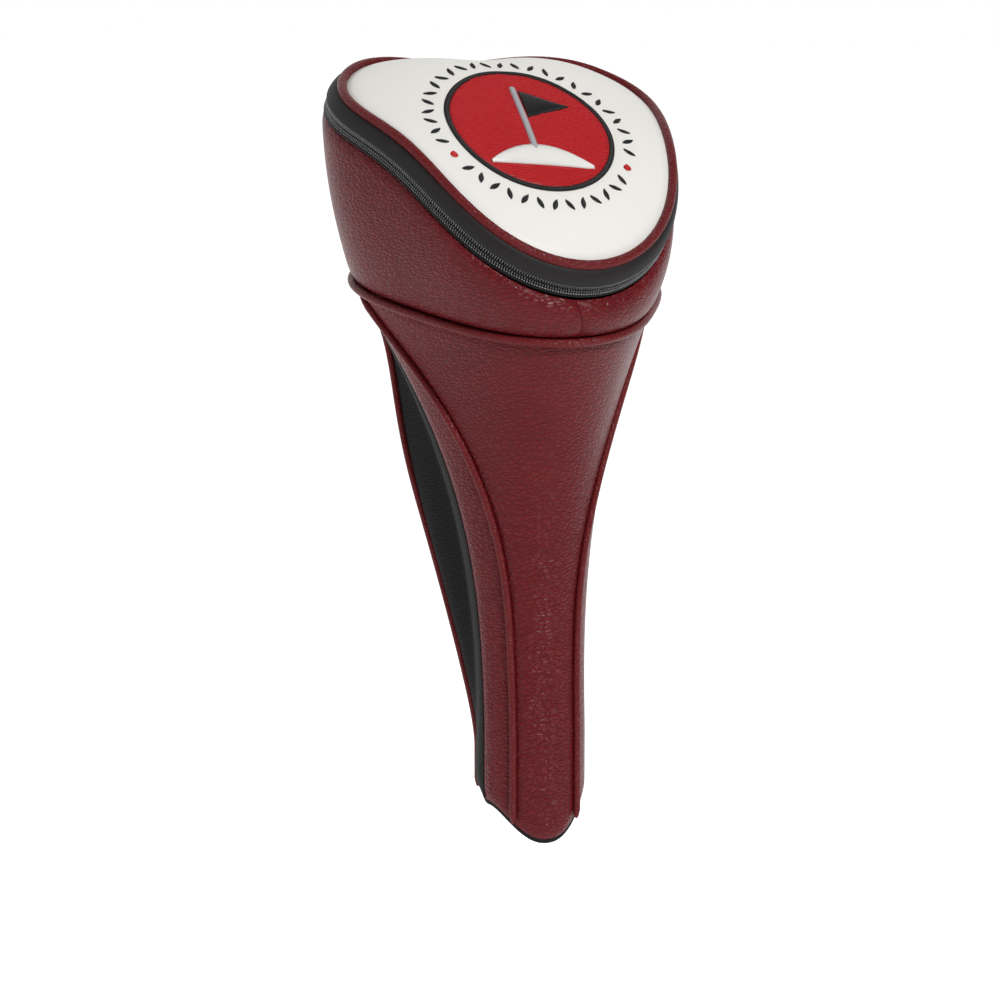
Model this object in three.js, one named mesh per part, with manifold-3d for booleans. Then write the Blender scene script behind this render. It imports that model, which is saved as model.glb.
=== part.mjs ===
// Driver head cover: a padded leather hood for a golf driver, with a long neck for the shaft
// and a zipped crown that folds back on a cloth hinge.
// Frame: millimetres, +Z up along the shaft, origin on the shaft axis at the lowest edge of the
// neck mouth. The front panel faces -Y. Angles round the cover run from the front, +X at 90.
import * as THREE from "three";
import { mergeVertices } from "three/addons/utils/BufferGeometryUtils.js";
import Module from "manifold-3d";

const wasm = await Module();
wasm.setup();

const RAD = Math.PI / 180;

// Crown: a rounded triangle, tilted down to the front, leaning a little to +X and turned a little
// on the neck, as it sits over a driver head.
const CROWN_CENTRE = new THREE.Vector3(-5, 11, 304.5);
const CROWN_TILT = 36.2 * RAD;
const CROWN_LEAN = 5.6 * RAD;
const CROWN_FRONT = 90.5;
const CROWN_SIDE = 66.2;
const CROWN_CORNER = 71.6;
const CROWN_BACK = 60;
const BACK_SQUEEZE = 0.765;
const CROWN_TURN = 7.2 * RAD;
const BACK_DROP = 9.6;
const RIM_WAVE = 5.8;
const DOME_HEIGHT = 8.1;

// Rim stack, as steps outward from the crown edge (grow) and along the crown's normal (rise).
const PIPING_RADIUS = 1.9;
const RIM_PIPING = { grow: 2.1, rise: -0.4 };
const BAND_PROFILE = [
  [3.0, -2.8],
  [4.1, -2.2],
  [6.7, -8.2],
  [5.6, -8.2],
];
const COIL_GROW = 5.9;
const COIL_RADIUS = 0.75;
const UPPER_COIL_RISE = -9.3;
const LOWER_COIL_RISE = -11.6;
const TAPE_GROW = [3.9, 4.9];
const UPPER_TAPE_RISE = [-10.05, -7.4];
const LOWER_TAPE_RISE = [-13.6, -10.85];
const WALL_TOP = { grow: 6.8, rise: -14.0 };
const ZIP_END = 150 * RAD;
const STOP_SPAN = 1.4 * RAD;
const HINGE_HALF = 24 * RAD;

// Wall and neck.
const SEAM_HEIGHT = 227.2;
const SEAM_SETBACK = 19;
const SEAM_TILT = 12.3 * RAD;
const SEAM_RADIUS = 63.5;
const SEAM_TRIANGLE = 0.085;
const WALL_BULGE = 3.5;
const WALL_SEAM = 4 * RAD;
const BACK_SEAM = 122 * RAD;
const NECK_RADIUS = 23.5;
const NECK_STRAIGHT = 0.19;
const BACK_SWELL = 0.52;
const SWELL_FOOT = 0.15;
const GUSSET_DEPTH = 2.5;
const FRONT_EDGE = [36 * RAD, 105 * RAD];
const SIDE_EDGE = [76 * RAD, 111 * RAD];
const BACK_EDGE = [134 * RAD, 122 * RAD];
const SEAM_GAP = 0.2;

// Layers: distance of each face below the outer surface.
const LEATHER = [-1.2, 0];
const FOAM = [-4.3, -2.0];
const LINING = [-6.6, -5.7];
const HEM_BINDING = [-2.9, -1.6];
const ELASTIC = [-8.0, -7.1];
const HEM_LIFT = { side: 15, gusset: 20, back: 9 };

// Emblem on the crown, measured from the dome's centre: ahead is downhill, towards the front.
const EMBLEM_AHEAD = 23;
const EMBLEM_RADIUS = 34.6;
const EMBLEM_RIM = 2.4;

// Zip slider, parked on the hidden back corner, and its pull.
const SLIDER_ANGLE = 128 * RAD;
const SLIDER_HALF = 4.5;
const PULL_LENGTH = 25;
const PULL_WIDTH = 6;
const PULL_LEAN = 15 * RAD;

const smooth = (x) => {
  const t = Math.min(1, Math.max(0, x));
  return t * t * (3 - 2 * t);
};
const lerp = (a, b, t) => a + (b - a) * t;

// ---------------------------------------------------------------- shape of the cover

const NORMAL = new THREE.Vector3(0, -Math.sin(CROWN_TILT), Math.cos(CROWN_TILT))
  .multiplyScalar(Math.cos(CROWN_LEAN))
  .add(new THREE.Vector3(Math.sin(CROWN_LEAN), 0, 0));
const AHEAD = new THREE.Vector3(0, -Math.cos(CROWN_TILT), -Math.sin(CROWN_TILT));
const ACROSS = AHEAD.clone().cross(NORMAL).negate();

// Four reaches from the centre (front, 60, 120 and 180 degrees) set a smooth cosine outline.
const EVEN_PART = (CROWN_FRONT + CROWN_BACK - CROWN_SIDE - CROWN_CORNER) / 3;
const ODD_PART = ((CROWN_FRONT - CROWN_BACK) / 2 - CROWN_SIDE + CROWN_CORNER) / 3;
const OUTLINE = [
  (CROWN_SIDE + CROWN_CORNER + EVEN_PART) / 2,
  (CROWN_FRONT - CROWN_BACK) / 2 - ODD_PART,
  EVEN_PART,
  ODD_PART,
];

function crownReach(angle) {
  const turned = angle - CROWN_TURN;
  const round = OUTLINE.reduce((sum, part, i) => sum + part * Math.cos(i * turned), 0);
  const depth = Math.cos(turned) < 0 ? BACK_SQUEEZE : 1;
  return round / Math.hypot(Math.sin(turned), Math.cos(turned) / depth);
}

// The rim rises between the corners and drops round the back.
function rimRise(angle) {
  const turned = angle - CROWN_TURN;
  const away = Math.abs(Math.atan2(Math.sin(turned), Math.cos(turned)));
  const wave = away < 120 * RAD ? -RIM_WAVE * Math.cos(3 * away) : -RIM_WAVE;
  return wave - BACK_DROP * smooth((away / RAD - 100) / 80);
}

function crownAt(angle, reach, rise) {
  return CROWN_CENTRE.clone()
    .addScaledVector(ACROSS, reach * Math.sin(angle))
    .addScaledVector(AHEAD, reach * Math.cos(angle))
    .addScaledVector(NORMAL, rise);
}

function rimAt(angle, grow, rise) {
  return crownAt(angle, crownReach(angle) + grow, rimRise(angle) + rise);
}

// Dome over the outline; across and ahead are measured from the crown's centre.
function domeAt(across, ahead, lift) {
  const angle = Math.atan2(across, ahead);
  const reach = Math.hypot(across, ahead);
  const part = Math.min(1, reach / crownReach(angle));
  const height = DOME_HEIGHT * (1 - part ** 2.4) + rimRise(angle) * part ** 3;
  return crownAt(angle, reach, height + lift);
}

// Angle of each sewn edge of the neck: level below, then sweeping round towards the back.
const seamCurve = (edge) => (height) =>
  lerp(edge[0], edge[1], Math.max(0, (height - 0.4) / 0.6) ** 2);
const frontEdge = seamCurve(FRONT_EDGE);
const sideEdge = seamCurve(SIDE_EDGE);
const backEdge = seamCurve(BACK_EDGE);

// Share of the way from the straight part of the neck to the seam.
function flare(height) {
  return Math.max(0, (height - NECK_STRAIGHT) / (1 - NECK_STRAIGHT));
}

// The back panel stands away from the body over the middle of the neck.
function backSwell(angle, height) {
  const x = Math.max(0, (height - SWELL_FOOT) / (1 - SWELL_FOOT));
  const profile = (x ** 1.5 * (1 - x) ** 1.7) / 0.1095;
  return BACK_SWELL * profile * smooth((Math.abs(angle) / RAD - 119) / 14);
}

// The gussets sink between the side panels and the back panel.
function gussetDip(angle, height) {
  const start = sideEdge(height);
  const x = (Math.abs(angle) - start) / (backEdge(height) - start);
  return x > 0 && x < 1 ? GUSSET_DEPTH * Math.sin(Math.PI * x) * Math.sin(Math.PI * height) : 0;
}

function neckAt(angle, height, swell, dip) {
  const t = flare(height);
  const tilt = SEAM_TILT * t ** 1.6;
  let reach = lerp(NECK_RADIUS, SEAM_RADIUS, t ** 2.4);
  reach *= 1 + SEAM_TRIANGLE * t ** 1.2 * Math.cos(3 * angle);
  reach = reach * (1 + swell) - dip;
  return new THREE.Vector3(
    reach * Math.sin(angle),
    SEAM_SETBACK * t ** 1.3 - reach * Math.cos(angle) * Math.cos(tilt),
    SEAM_HEIGHT * height - reach * Math.cos(angle) * Math.sin(tilt),
  );
}

// Outer surface of the neck: height runs from 0 at the mouth to 1 at the seam.
function neckBase(angle, height) {
  const turned = Math.atan2(Math.sin(angle), Math.cos(angle));
  return neckAt(angle, height, backSwell(turned, height), gussetDip(turned, height));
}

// The lining follows the plain round body, without the swell and the gussets.
function bodyBase(angle, height) {
  return neckAt(angle, height, 0, 0);
}

// Outer surface of the wall: height runs from 0 at the seam to 1 at the zip.
function wallBase(angle, height) {
  const foot = neckBase(angle, 1);
  const top = rimAt(angle, WALL_TOP.grow, WALL_TOP.rise);
  const out = new THREE.Vector3(Math.sin(angle), -Math.cos(angle), 0);
  return foot.lerp(top, height).addScaledVector(out, WALL_BULGE * Math.sin(Math.PI * height) ** 0.8);
}

function faceNormal(base, angle, height) {
  const low = Math.max(0, height - 0.01);
  const high = Math.min(1, height + 0.01);
  const round = base(angle + 0.01, height).sub(base(angle - 0.01, height));
  const up = base(angle, high).sub(base(angle, low));
  return round.cross(up).normalize();
}

function offsetAt(base, angle, height, offset) {
  return base(angle, height).addScaledVector(faceNormal(base, angle, height), offset);
}

// Height of the hem round the mouth, as a share of the seam height: a tongue at the front.
function hemHeight(angle) {
  const turned = Math.abs(Math.atan2(Math.sin(angle), Math.cos(angle))) / RAD;
  const front = HEM_LIFT.side * smooth(turned / 70) ** 1.2;
  const gusset = (HEM_LIFT.gusset - HEM_LIFT.side) * smooth((turned - 70) / 25);
  const back = (HEM_LIFT.back - HEM_LIFT.gusset) * smooth((turned - 120) / 30);
  return (front + gusset + back) / SEAM_HEIGHT;
}

// ---------------------------------------------------------------- solids

function solid(points, faces) {
  const geometry = new THREE.BufferGeometry();
  geometry.setAttribute("position", new THREE.Float32BufferAttribute(points.flatMap((p) => p.toArray()), 3));
  const volume = faces.reduce((sum, [a, b, c]) => {
    const cross = points[b].clone().cross(points[c]);
    return sum + points[a].dot(cross);
  }, 0);
  geometry.setIndex(faces.flatMap(([a, b, c]) => (volume > 0 ? [a, b, c] : [a, c, b])));
  geometry.computeVertexNormals();
  return geometry;
}

// Joins a row of closed loops of equal length; an open row is capped at both ends. The two
// halves of a loop are split along the same diagonals, so a sheet keeps an even thickness.
function skin(rows, closed) {
  const size = rows[0].length;
  const faces = [];
  const last = closed ? rows.length : rows.length - 1;
  for (let i = 0; i < last; i++) {
    const next = (i + 1) % rows.length;
    for (let j = 0; j < size; j++) {
      const k = (j + 1) % size;
      const [a, b, c, d] = [i * size + j, i * size + k, next * size + k, next * size + j];
      faces.push(...(j < size / 2 ? [[a, b, c], [a, c, d]] : [[a, b, d], [b, c, d]]));
    }
  }
  if (!closed) {
    const end = (rows.length - 1) * size;
    for (let j = 0; j < size / 2 - 1; j++) {
      const far = size - 1 - j;
      if (j + 1 < far - 1) {
        faces.push([j, far, j + 1], [j + 1, far, far - 1]);
        faces.push([end + j, end + j + 1, end + far], [end + j + 1, end + far - 1, end + far]);
      }
    }
  }
  return solid(rows.flat(), faces);
}

// A sheet of material between two angles, from its lower to its upper height.
function panel(base, layer, from, to, low, high, across, along) {
  const rows = [];
  for (let i = 0; i <= along; i++) {
    const outer = [];
    const inner = [];
    for (let j = 0; j <= across; j++) {
      const share = j / across;
      const foot = lerp(from(0.1), to(0.1), share);
      const height = lerp(low(foot), high, i / along);
      const gap = SEAM_GAP / base(0, height).distanceTo(base(Math.PI, height)) * 2;
      const angle = lerp(from(height) + gap, to(height) - gap, share);
      outer.push(offsetAt(base, angle, height, layer[1]));
      inner.push(offsetAt(base, angle, height, layer[0]));
    }
    rows.push([...outer, ...inner.reverse()]);
  }
  return skin(rows, false);
}

// A sheet that runs all the way round.
function sleeve(base, layer, low, high, around, along) {
  const rows = [];
  for (let j = 0; j < around; j++) {
    const angle = (j / around) * 2 * Math.PI;
    const outer = [];
    const inner = [];
    for (let i = 0; i <= along; i++) {
      const height = lerp(low(angle), high(angle), i / along);
      outer.push(offsetAt(base, angle, height, layer[1]));
      inner.push(offsetAt(base, angle, height, layer[0]));
    }
    rows.push([...outer, ...inner.reverse()]);
  }
  return skin(rows, true);
}

// A cord of round section along points; sides gives each point's two section directions.
function cord(points, sides, radius, closed, count = 6) {
  const rows = points.map((point, i) => {
    const loop = [];
    for (let k = 0; k < count; k++) {
      const turn = ((k + 0.5) / count) * 2 * Math.PI;
      loop.push(
        point
          .clone()
          .addScaledVector(sides[i][0], radius * Math.cos(turn))
          .addScaledVector(sides[i][1], radius * Math.sin(turn)),
      );
    }
    return loop;
  });
  return skin(rows, closed);
}

// Piping laid on a sewn edge of the neck.
function edgePiping(edge, sign, radius, low, high, steps) {
  const points = [];
  const sides = [];
  for (let i = 0; i <= steps; i++) {
    const height = lerp(low, high, i / steps);
    const angle = sign * edge(height);
    const normal = faceNormal(neckBase, angle, height);
    points.push(neckBase(angle, height).addScaledVector(normal, radius + 0.5));
    const along = neckBase(sign * edge(height + 0.01), height + 0.01)
      .sub(neckBase(sign * edge(height - 0.01), height - 0.01))
      .normalize();
    sides.push([normal, along.cross(normal).normalize()]);
  }
  return cord(points, sides, radius, false);
}

// A strip swept round the crown's rim; profile is a list of grow and rise pairs.
function rimStrip(profile, from, to, steps) {
  const closed = to - from > 359 * RAD;
  const rows = [];
  for (let i = 0; i < (closed ? steps : steps + 1); i++) {
    const angle = lerp(from, to, i / steps);
    rows.push(profile.map(([grow, rise]) => rimAt(angle, grow, rise)));
  }
  return skin(rows, closed);
}

function roundProfile(grow, rise, radius, count) {
  const profile = [];
  for (let k = 0; k < count; k++) {
    const turn = ((k + 0.5) / count) * 2 * Math.PI;
    profile.push([grow + radius * Math.cos(turn), rise + radius * Math.sin(turn)]);
  }
  return profile;
}

function boxProfile([inner, outer], [low, high]) {
  return [
    [inner, low],
    [outer, low],
    [outer, high],
    [inner, high],
  ];
}

// A pad lying on the dome inside an outline of across and ahead pairs.
function pad(outline, low, high, rings) {
  const count = outline.length;
  const middle = outline.reduce((sum, p) => [sum[0] + p[0] / count, sum[1] + p[1] / count], [0, 0]);
  const points = [domeAt(...middle, high), domeAt(...middle, low)];
  for (const lift of [high, low]) {
    for (let k = 1; k <= rings; k++) {
      for (const [across, ahead] of outline) {
        const x = lerp(middle[0], across, k / rings);
        const y = lerp(middle[1], ahead, k / rings);
        points.push(domeAt(x, y, lift));
      }
    }
  }
  const at = (side, ring, j) => 2 + (side * rings + ring - 1) * count + (j % count);
  const faces = [];
  for (let j = 0; j < count; j++) {
    faces.push([0, at(0, 1, j), at(0, 1, j + 1)], [1, at(1, 1, j + 1), at(1, 1, j)]);
    for (let k = 1; k < rings; k++) {
      faces.push([at(0, k, j), at(0, k + 1, j), at(0, k + 1, j + 1)]);
      faces.push([at(0, k, j), at(0, k + 1, j + 1), at(0, k, j + 1)]);
      faces.push([at(1, k, j), at(1, k + 1, j + 1), at(1, k + 1, j)]);
      faces.push([at(1, k, j), at(1, k, j + 1), at(1, k + 1, j + 1)]);
    }
    faces.push([at(0, rings, j), at(1, rings, j), at(1, rings, j + 1)]);
    faces.push([at(0, rings, j), at(1, rings, j + 1), at(0, rings, j + 1)]);
  }
  return solid(points, faces);
}

function crownOutline(inset, count) {
  const outline = [];
  for (let j = 0; j < count; j++) {
    const angle = (j / count) * 2 * Math.PI;
    const reach = crownReach(angle) - inset;
    outline.push([reach * Math.sin(angle), reach * Math.cos(angle)]);
  }
  return outline;
}

function circleOutline(radius, count) {
  const outline = [];
  for (let j = 0; j < count; j++) {
    const angle = (j / count) * 2 * Math.PI;
    outline.push([radius * Math.sin(angle), EMBLEM_AHEAD + radius * Math.cos(angle)]);
  }
  return outline;
}

// Outline in emblem units: x to +X, y uphill, both as shares of the emblem's radius.
function emblemOutline(corners) {
  return corners.map(([x, y]) => [x * EMBLEM_RADIUS, EMBLEM_AHEAD - y * EMBLEM_RADIUS]);
}

function emblemRim(count) {
  const rows = [];
  for (let j = 0; j < count; j++) {
    const angle = (j / count) * 2 * Math.PI;
    const at = (radius, lift) =>
      domeAt(radius * Math.sin(angle), EMBLEM_AHEAD + radius * Math.cos(angle), lift);
    const inside = EMBLEM_RADIUS + 0.3;
    const outside = EMBLEM_RADIUS + EMBLEM_RIM;
    rows.push([at(inside, 0.3), at(outside, 0.3), at(outside, 0.8), at(inside, 0.8)]);
  }
  return skin(rows, true);
}

function moundOutline() {
  const corners = [];
  for (let k = 0; k < 20; k++) {
    const turn = (k / 20) * 2 * Math.PI;
    corners.push([0.62 * Math.cos(turn), -0.62 + 0.26 * Math.max(0, Math.sin(turn))]);
  }
  return emblemOutline(corners);
}

// ---------------------------------------------------------------- zip slider

const asManifold = (geometry) => {
  const bare = geometry.clone();
  bare.deleteAttribute("normal");
  bare.deleteAttribute("uv");
  const merged = mergeVertices(bare, 1e-4);
  return new wasm.Manifold(
    new wasm.Mesh({
      numProp: 3,
      vertProperties: merged.attributes.position.array,
      triVerts: new Uint32Array(merged.index.array),
    }),
  );
};

const asGeometry = (manifold) => {
  const mesh = manifold.getMesh();
  const geometry = new THREE.BufferGeometry();
  geometry.setAttribute("position", new THREE.BufferAttribute(mesh.vertProperties, 3));
  geometry.setIndex(new THREE.BufferAttribute(mesh.triVerts, 1));
  geometry.computeVertexNormals();
  return geometry;
};

// Frame at the parked slider: along the zip towards the front, outward, and the crown's normal.
const sliderOrigin = rimAt(SLIDER_ANGLE, 0, 0);
const alongZip = rimAt(SLIDER_ANGLE - 0.01, COIL_GROW, 0)
  .sub(rimAt(SLIDER_ANGLE + 0.01, COIL_GROW, 0))
  .normalize();
const outward = NORMAL.clone().cross(alongZip).normalize();
const sliderFrame = new THREE.Matrix4()
  .makeBasis(alongZip, outward, NORMAL)
  .setPosition(sliderOrigin);

function block([x0, x1], [y0, y1], [z0, z1]) {
  return new THREE.BoxGeometry(x1 - x0, y1 - y0, z1 - z0).translate(
    (x0 + x1) / 2,
    (y0 + y1) / 2,
    (z0 + z1) / 2,
  );
}

function rod(radius, half, y, z) {
  return new THREE.CylinderGeometry(radius, radius, 2 * half, 14)
    .rotateZ(Math.PI / 2)
    .translate(0, y, z);
}

const SLIT_RISE = (UPPER_COIL_RISE + LOWER_COIL_RISE) / 2;
const PIN = { y: 11.6, z: SLIT_RISE - 0.8 };

function sliderBody() {
  const pieces = [
    block([-SLIDER_HALF, SLIDER_HALF], [7.7, 8.9], [SLIT_RISE - 2.7, SLIT_RISE + 2.7]),
    block([-SLIDER_HALF + 1, SLIDER_HALF - 1], [1.7, 2.6], [SLIT_RISE - 2, SLIT_RISE + 2]),
    block([-2.4, 2.4], [2.5, 7.8], [SLIT_RISE - 0.2, SLIT_RISE + 0.2]),
    block([-2.8, -1.8], [8.8, 12.5], [PIN.z - 1, PIN.z + 1]),
    block([1.8, 2.8], [8.8, 12.5], [PIN.z - 1, PIN.z + 1]),
    rod(0.6, 2, PIN.y, PIN.z),
  ];
  const body = pieces.map(asManifold).reduce((whole, piece) => whole.add(piece));
  return asGeometry(body).applyMatrix4(sliderFrame);
}

// The pull hangs down from its pin and leans out where the wall holds it off.
const pinPoint = new THREE.Vector3(0, PIN.y, PIN.z).applyMatrix4(sliderFrame);
const hang = new THREE.Vector3(0, 0, -1);
hang.addScaledVector(alongZip, -hang.dot(alongZip)).normalize();
hang.applyAxisAngle(alongZip, PULL_LEAN);
const pullFrame = new THREE.Matrix4()
  .makeBasis(alongZip, hang.clone().cross(alongZip).normalize(), hang)
  .setPosition(pinPoint);

function pullTab() {
  const half = PULL_WIDTH / 2;
  const eye = block([-1.4, 1.4], [-1.5, 1.5], [-1.6, 1.8]);
  const link = block([-1.4, 1.4], [-0.7, 0.7], [1.7, 3.5]);
  const bore = block([-2, 2], [-0.9, 0.9], [-0.9, 0.9]);
  const tab = block([-half, half], [-0.7, 0.7], [3.3, PULL_LENGTH]);
  const window = block([-1.6, 1.6], [-1, 1], [PULL_LENGTH - 8, PULL_LENGTH - 3]);
  const whole = [eye, link, tab].map(asManifold).reduce((sum, piece) => sum.add(piece));
  const pierced = whole.subtract(asManifold(bore)).subtract(asManifold(window));
  return asGeometry(pierced).applyMatrix4(pullFrame);
}

// ---------------------------------------------------------------- assembly

const cover = new THREE.Group();

function place(name, geometry, color, roughness, metalness = 0) {
  const material = new THREE.MeshStandardMaterial({ color, roughness, metalness });
  const mesh = new THREE.Mesh(geometry, material);
  mesh.name = name;
  cover.add(mesh);
}

const MAROON = 0x4a1419;
const BLACK = 0x121214;
const WHITE = 0xecebe6;
const RED = 0xb0161c;

const flipped = (edge) => (height) => -edge(height);
const aroundBack = (edge) => (height) => 2 * Math.PI - edge(height);
const fixed = (value) => () => value;
const above = (lift) => (angle) => hemHeight(angle) + lift / SEAM_HEIGHT;

// Heights on the wall are shares of its own height, which changes round the cover.
function wallShare(depth) {
  return (angle) => depth / wallBase(angle, 0).distanceTo(wallBase(angle, 1));
}
const wallFoot = wallShare(2.2);
const wallPadTop = (angle) => 1 - wallShare(4)(angle);

// Neck skins.
const NECK_TOP = 0.99;
const NECK_ROWS = 11;
const FRONT_COLUMNS = 18;
const neckPanel = (from, to, across) =>
  panel(neckBase, LEATHER, from, to, hemHeight, NECK_TOP, across, NECK_ROWS);
place("neck_front_panel", neckPanel(flipped(frontEdge), frontEdge, FRONT_COLUMNS), MAROON, 0.5);
place("neck_side_panel_right", neckPanel(frontEdge, sideEdge, 4), MAROON, 0.5);
place("neck_side_panel_left", neckPanel(flipped(sideEdge), flipped(frontEdge), 4), MAROON, 0.5);
place("gusset_right", neckPanel(sideEdge, backEdge, 6), BLACK, 0.8);
place("gusset_left", neckPanel(flipped(backEdge), flipped(sideEdge), 6), BLACK, 0.8);
place("neck_back_panel", neckPanel(backEdge, aroundBack(backEdge), 12), MAROON, 0.5);

// Piping on the neck's seams and the bound edges of the back panel.
for (const [side, sign] of [
  ["right", 1],
  ["left", -1],
]) {
  place(`front_piping_${side}`, edgePiping(frontEdge, sign, 1.5, 0.035, 0.97, 20), MAROON, 0.4);
  place(`back_binding_${side}`, edgePiping(backEdge, sign, 1.25, 0.07, 0.93, 24), MAROON, 0.4);
}

// Inside the neck: padding behind the leather, then the lining, elastic and hem binding.
const neckPad = (from, to, across) =>
  panel(neckBase, FOAM, from, to, above(1.4), NECK_TOP, across, NECK_ROWS);
place("neck_front_foam", neckPad(flipped(frontEdge), frontEdge, FRONT_COLUMNS), 0xb8b4a8, 0.9);
place("neck_back_foam", neckPad(backEdge, aroundBack(backEdge), 10), 0xb8b4a8, 0.9);
const neckSleeve = (layer, low, high, around, along) =>
  sleeve(bodyBase, layer, low, high, around, along);
place("neck_lining", neckSleeve(LINING, above(1.4), fixed(NECK_TOP), 30, 8), BLACK, 0.9);
place("neck_elastic_band", neckSleeve(ELASTIC, fixed(0.2), fixed(0.28), 30, 1), BLACK, 0.8);
place("hem_binding", sleeve(neckBase, HEM_BINDING, above(-1.8), above(0.8), 40, 1), BLACK, 0.8);

// Seam between neck and wall, with its piping.
const SEAM_STEPS = 44;
const seamPoints = [];
const seamSides = [];
for (let j = 0; j < SEAM_STEPS; j++) {
  const angle = (j / SEAM_STEPS) * 2 * Math.PI;
  const normal = faceNormal(neckBase, angle, 1);
  const along = neckBase(angle + 0.01, 1).sub(neckBase(angle - 0.01, 1)).normalize();
  seamPoints.push(neckBase(angle, 1).addScaledVector(normal, 0.6));
  seamSides.push([normal, along.cross(normal).normalize()]);
}
place("seam_piping", cord(seamPoints, seamSides, 1.7, true), MAROON, 0.4);

// Wall round the head, between the seam and the zip.
const wallPanel = (from, to, across) => {
  const low = (angle) => wallFoot(angle);
  return panel(wallBase, LEATHER, fixed(from), fixed(to), low, 1, across, 4);
};
place("wall_panel_right", wallPanel(WALL_SEAM, BACK_SEAM, 18), MAROON, 0.5);
place("wall_panel_left", wallPanel(-BACK_SEAM, WALL_SEAM, 18), MAROON, 0.5);
place("wall_back_panel", wallPanel(BACK_SEAM, 2 * Math.PI - BACK_SEAM, 14), MAROON, 0.5);
place("wall_foam", sleeve(wallBase, FOAM, wallFoot, wallPadTop, 44, 2), 0xb8b4a8, 0.9);
place("wall_lining", sleeve(wallBase, LINING, wallFoot, wallPadTop, 36, 2), BLACK, 0.9);

// Zip: two tapes, two coils, stops, and the cloth hinge across the straight back.
const lowerCoil = roundProfile(COIL_GROW, LOWER_COIL_RISE, COIL_RADIUS, 6);
const upperCoil = roundProfile(COIL_GROW, UPPER_COIL_RISE, COIL_RADIUS, 6);
const stopProfile = boxProfile([5.1, 6.8], [LOWER_COIL_RISE - 0.75, LOWER_COIL_RISE + 0.75]);
const FULL = 2 * Math.PI;
const RIM_STEPS = 48;
place("lower_zip_tape", rimStrip(boxProfile(TAPE_GROW, LOWER_TAPE_RISE), 0, FULL, RIM_STEPS), BLACK, 0.8);
place("upper_zip_tape", rimStrip(boxProfile(TAPE_GROW, UPPER_TAPE_RISE), 0, FULL, RIM_STEPS), BLACK, 0.8);
place("lower_zip_coil", rimStrip(lowerCoil, -ZIP_END, ZIP_END, 40), BLACK, 0.4);
place("upper_zip_coil", rimStrip(upperCoil, -ZIP_END, ZIP_END, 40), BLACK, 0.4);
const stopStart = ZIP_END + STOP_SPAN / 2;
place("zip_top_stop", rimStrip(stopProfile, stopStart, stopStart + STOP_SPAN, 1), 0x8b8b8d, 0.3, 0.9);
place("zip_bottom_stop", rimStrip(stopProfile, -stopStart - STOP_SPAN, -stopStart, 1), 0x8b8b8d, 0.3, 0.9);
const hingeProfile = boxProfile([5.2, 6.4], [-13.6, -8.6]);
place("hinge_strip", rimStrip(hingeProfile, Math.PI - HINGE_HALF, Math.PI + HINGE_HALF, 14), BLACK, 0.8);

// Crown.
const pipingProfile = roundProfile(RIM_PIPING.grow, RIM_PIPING.rise, PIPING_RADIUS, 6);
place("crown_panel", pad(crownOutline(0.15, RIM_STEPS), -1.2, 0, 4), WHITE, 0.45);
place("crown_foam", pad(crownOutline(0.3, 40), -5.0, -2.0, 3), 0xb8b4a8, 0.9);
place("crown_lining", pad(crownOutline(0.6, 40), -6.6, -5.6, 3), BLACK, 0.9);
place("crown_piping", rimStrip(pipingProfile, 0, FULL, RIM_STEPS), MAROON, 0.4);
place("crown_band", rimStrip(BAND_PROFILE, 0, FULL, RIM_STEPS), BLACK, 0.8);

// Emblem: a flag on a mound, stitched on a round patch.
place("emblem_patch", pad(circleOutline(EMBLEM_RADIUS, 32), 0.3, 0.8, 3), RED, 0.6);
place("emblem_rim", emblemRim(32), BLACK, 0.5);
const flagCorners = [
  [0.03, 0.66],
  [0.03, 0.42],
  [0.03, 0.16],
  [0.3, 0.28],
  [0.58, 0.41],
  [0.3, 0.54],
];
const poleCorners = [
  [-0.08, 0.7],
  [-0.08, 0.15],
  [-0.08, -0.33],
  [-0.02, -0.33],
  [-0.02, 0.15],
  [-0.02, 0.7],
];
place("emblem_flag", pad(emblemOutline(flagCorners), 1.1, 1.5, 2), BLACK, 0.5);
place("emblem_pole", pad(emblemOutline(poleCorners), 1.1, 1.5, 2), 0x9a9a9c, 0.5);
place("emblem_mound", pad(moundOutline(), 1.1, 1.5, 2), WHITE, 0.5);

// Slider and pull.
place("zip_slider", sliderBody(), 0x2b2b2d, 0.35, 0.9);
place("zip_pull", pullTab(), 0x2b2b2d, 0.35, 0.9);

export default cover;
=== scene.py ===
"""Driver head cover: leather, knit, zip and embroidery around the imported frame.

Lengths are in millimetres while a shape is worked out, and turn into metres as a mesh is made.
Angles run round the cover from the front (-Y), with +X at 90 degrees.
"""
from math import cos, pi, radians, sin

import bmesh
import bpy
import numpy as np
from mathutils import Matrix, Vector


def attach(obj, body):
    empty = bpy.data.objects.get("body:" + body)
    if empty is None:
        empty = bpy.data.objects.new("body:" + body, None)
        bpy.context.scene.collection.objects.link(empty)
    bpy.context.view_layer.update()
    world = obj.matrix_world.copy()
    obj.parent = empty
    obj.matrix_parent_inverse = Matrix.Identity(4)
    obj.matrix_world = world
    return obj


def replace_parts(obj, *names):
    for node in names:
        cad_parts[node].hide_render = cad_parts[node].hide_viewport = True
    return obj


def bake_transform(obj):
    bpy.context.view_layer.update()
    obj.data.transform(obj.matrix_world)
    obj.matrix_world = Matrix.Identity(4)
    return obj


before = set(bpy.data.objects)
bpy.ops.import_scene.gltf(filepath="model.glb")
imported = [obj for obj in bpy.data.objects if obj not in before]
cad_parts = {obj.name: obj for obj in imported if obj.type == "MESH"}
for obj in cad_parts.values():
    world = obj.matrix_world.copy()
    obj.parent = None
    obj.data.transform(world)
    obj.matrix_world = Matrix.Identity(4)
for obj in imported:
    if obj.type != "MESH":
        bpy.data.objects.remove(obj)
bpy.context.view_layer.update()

MM = 0.001
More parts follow.
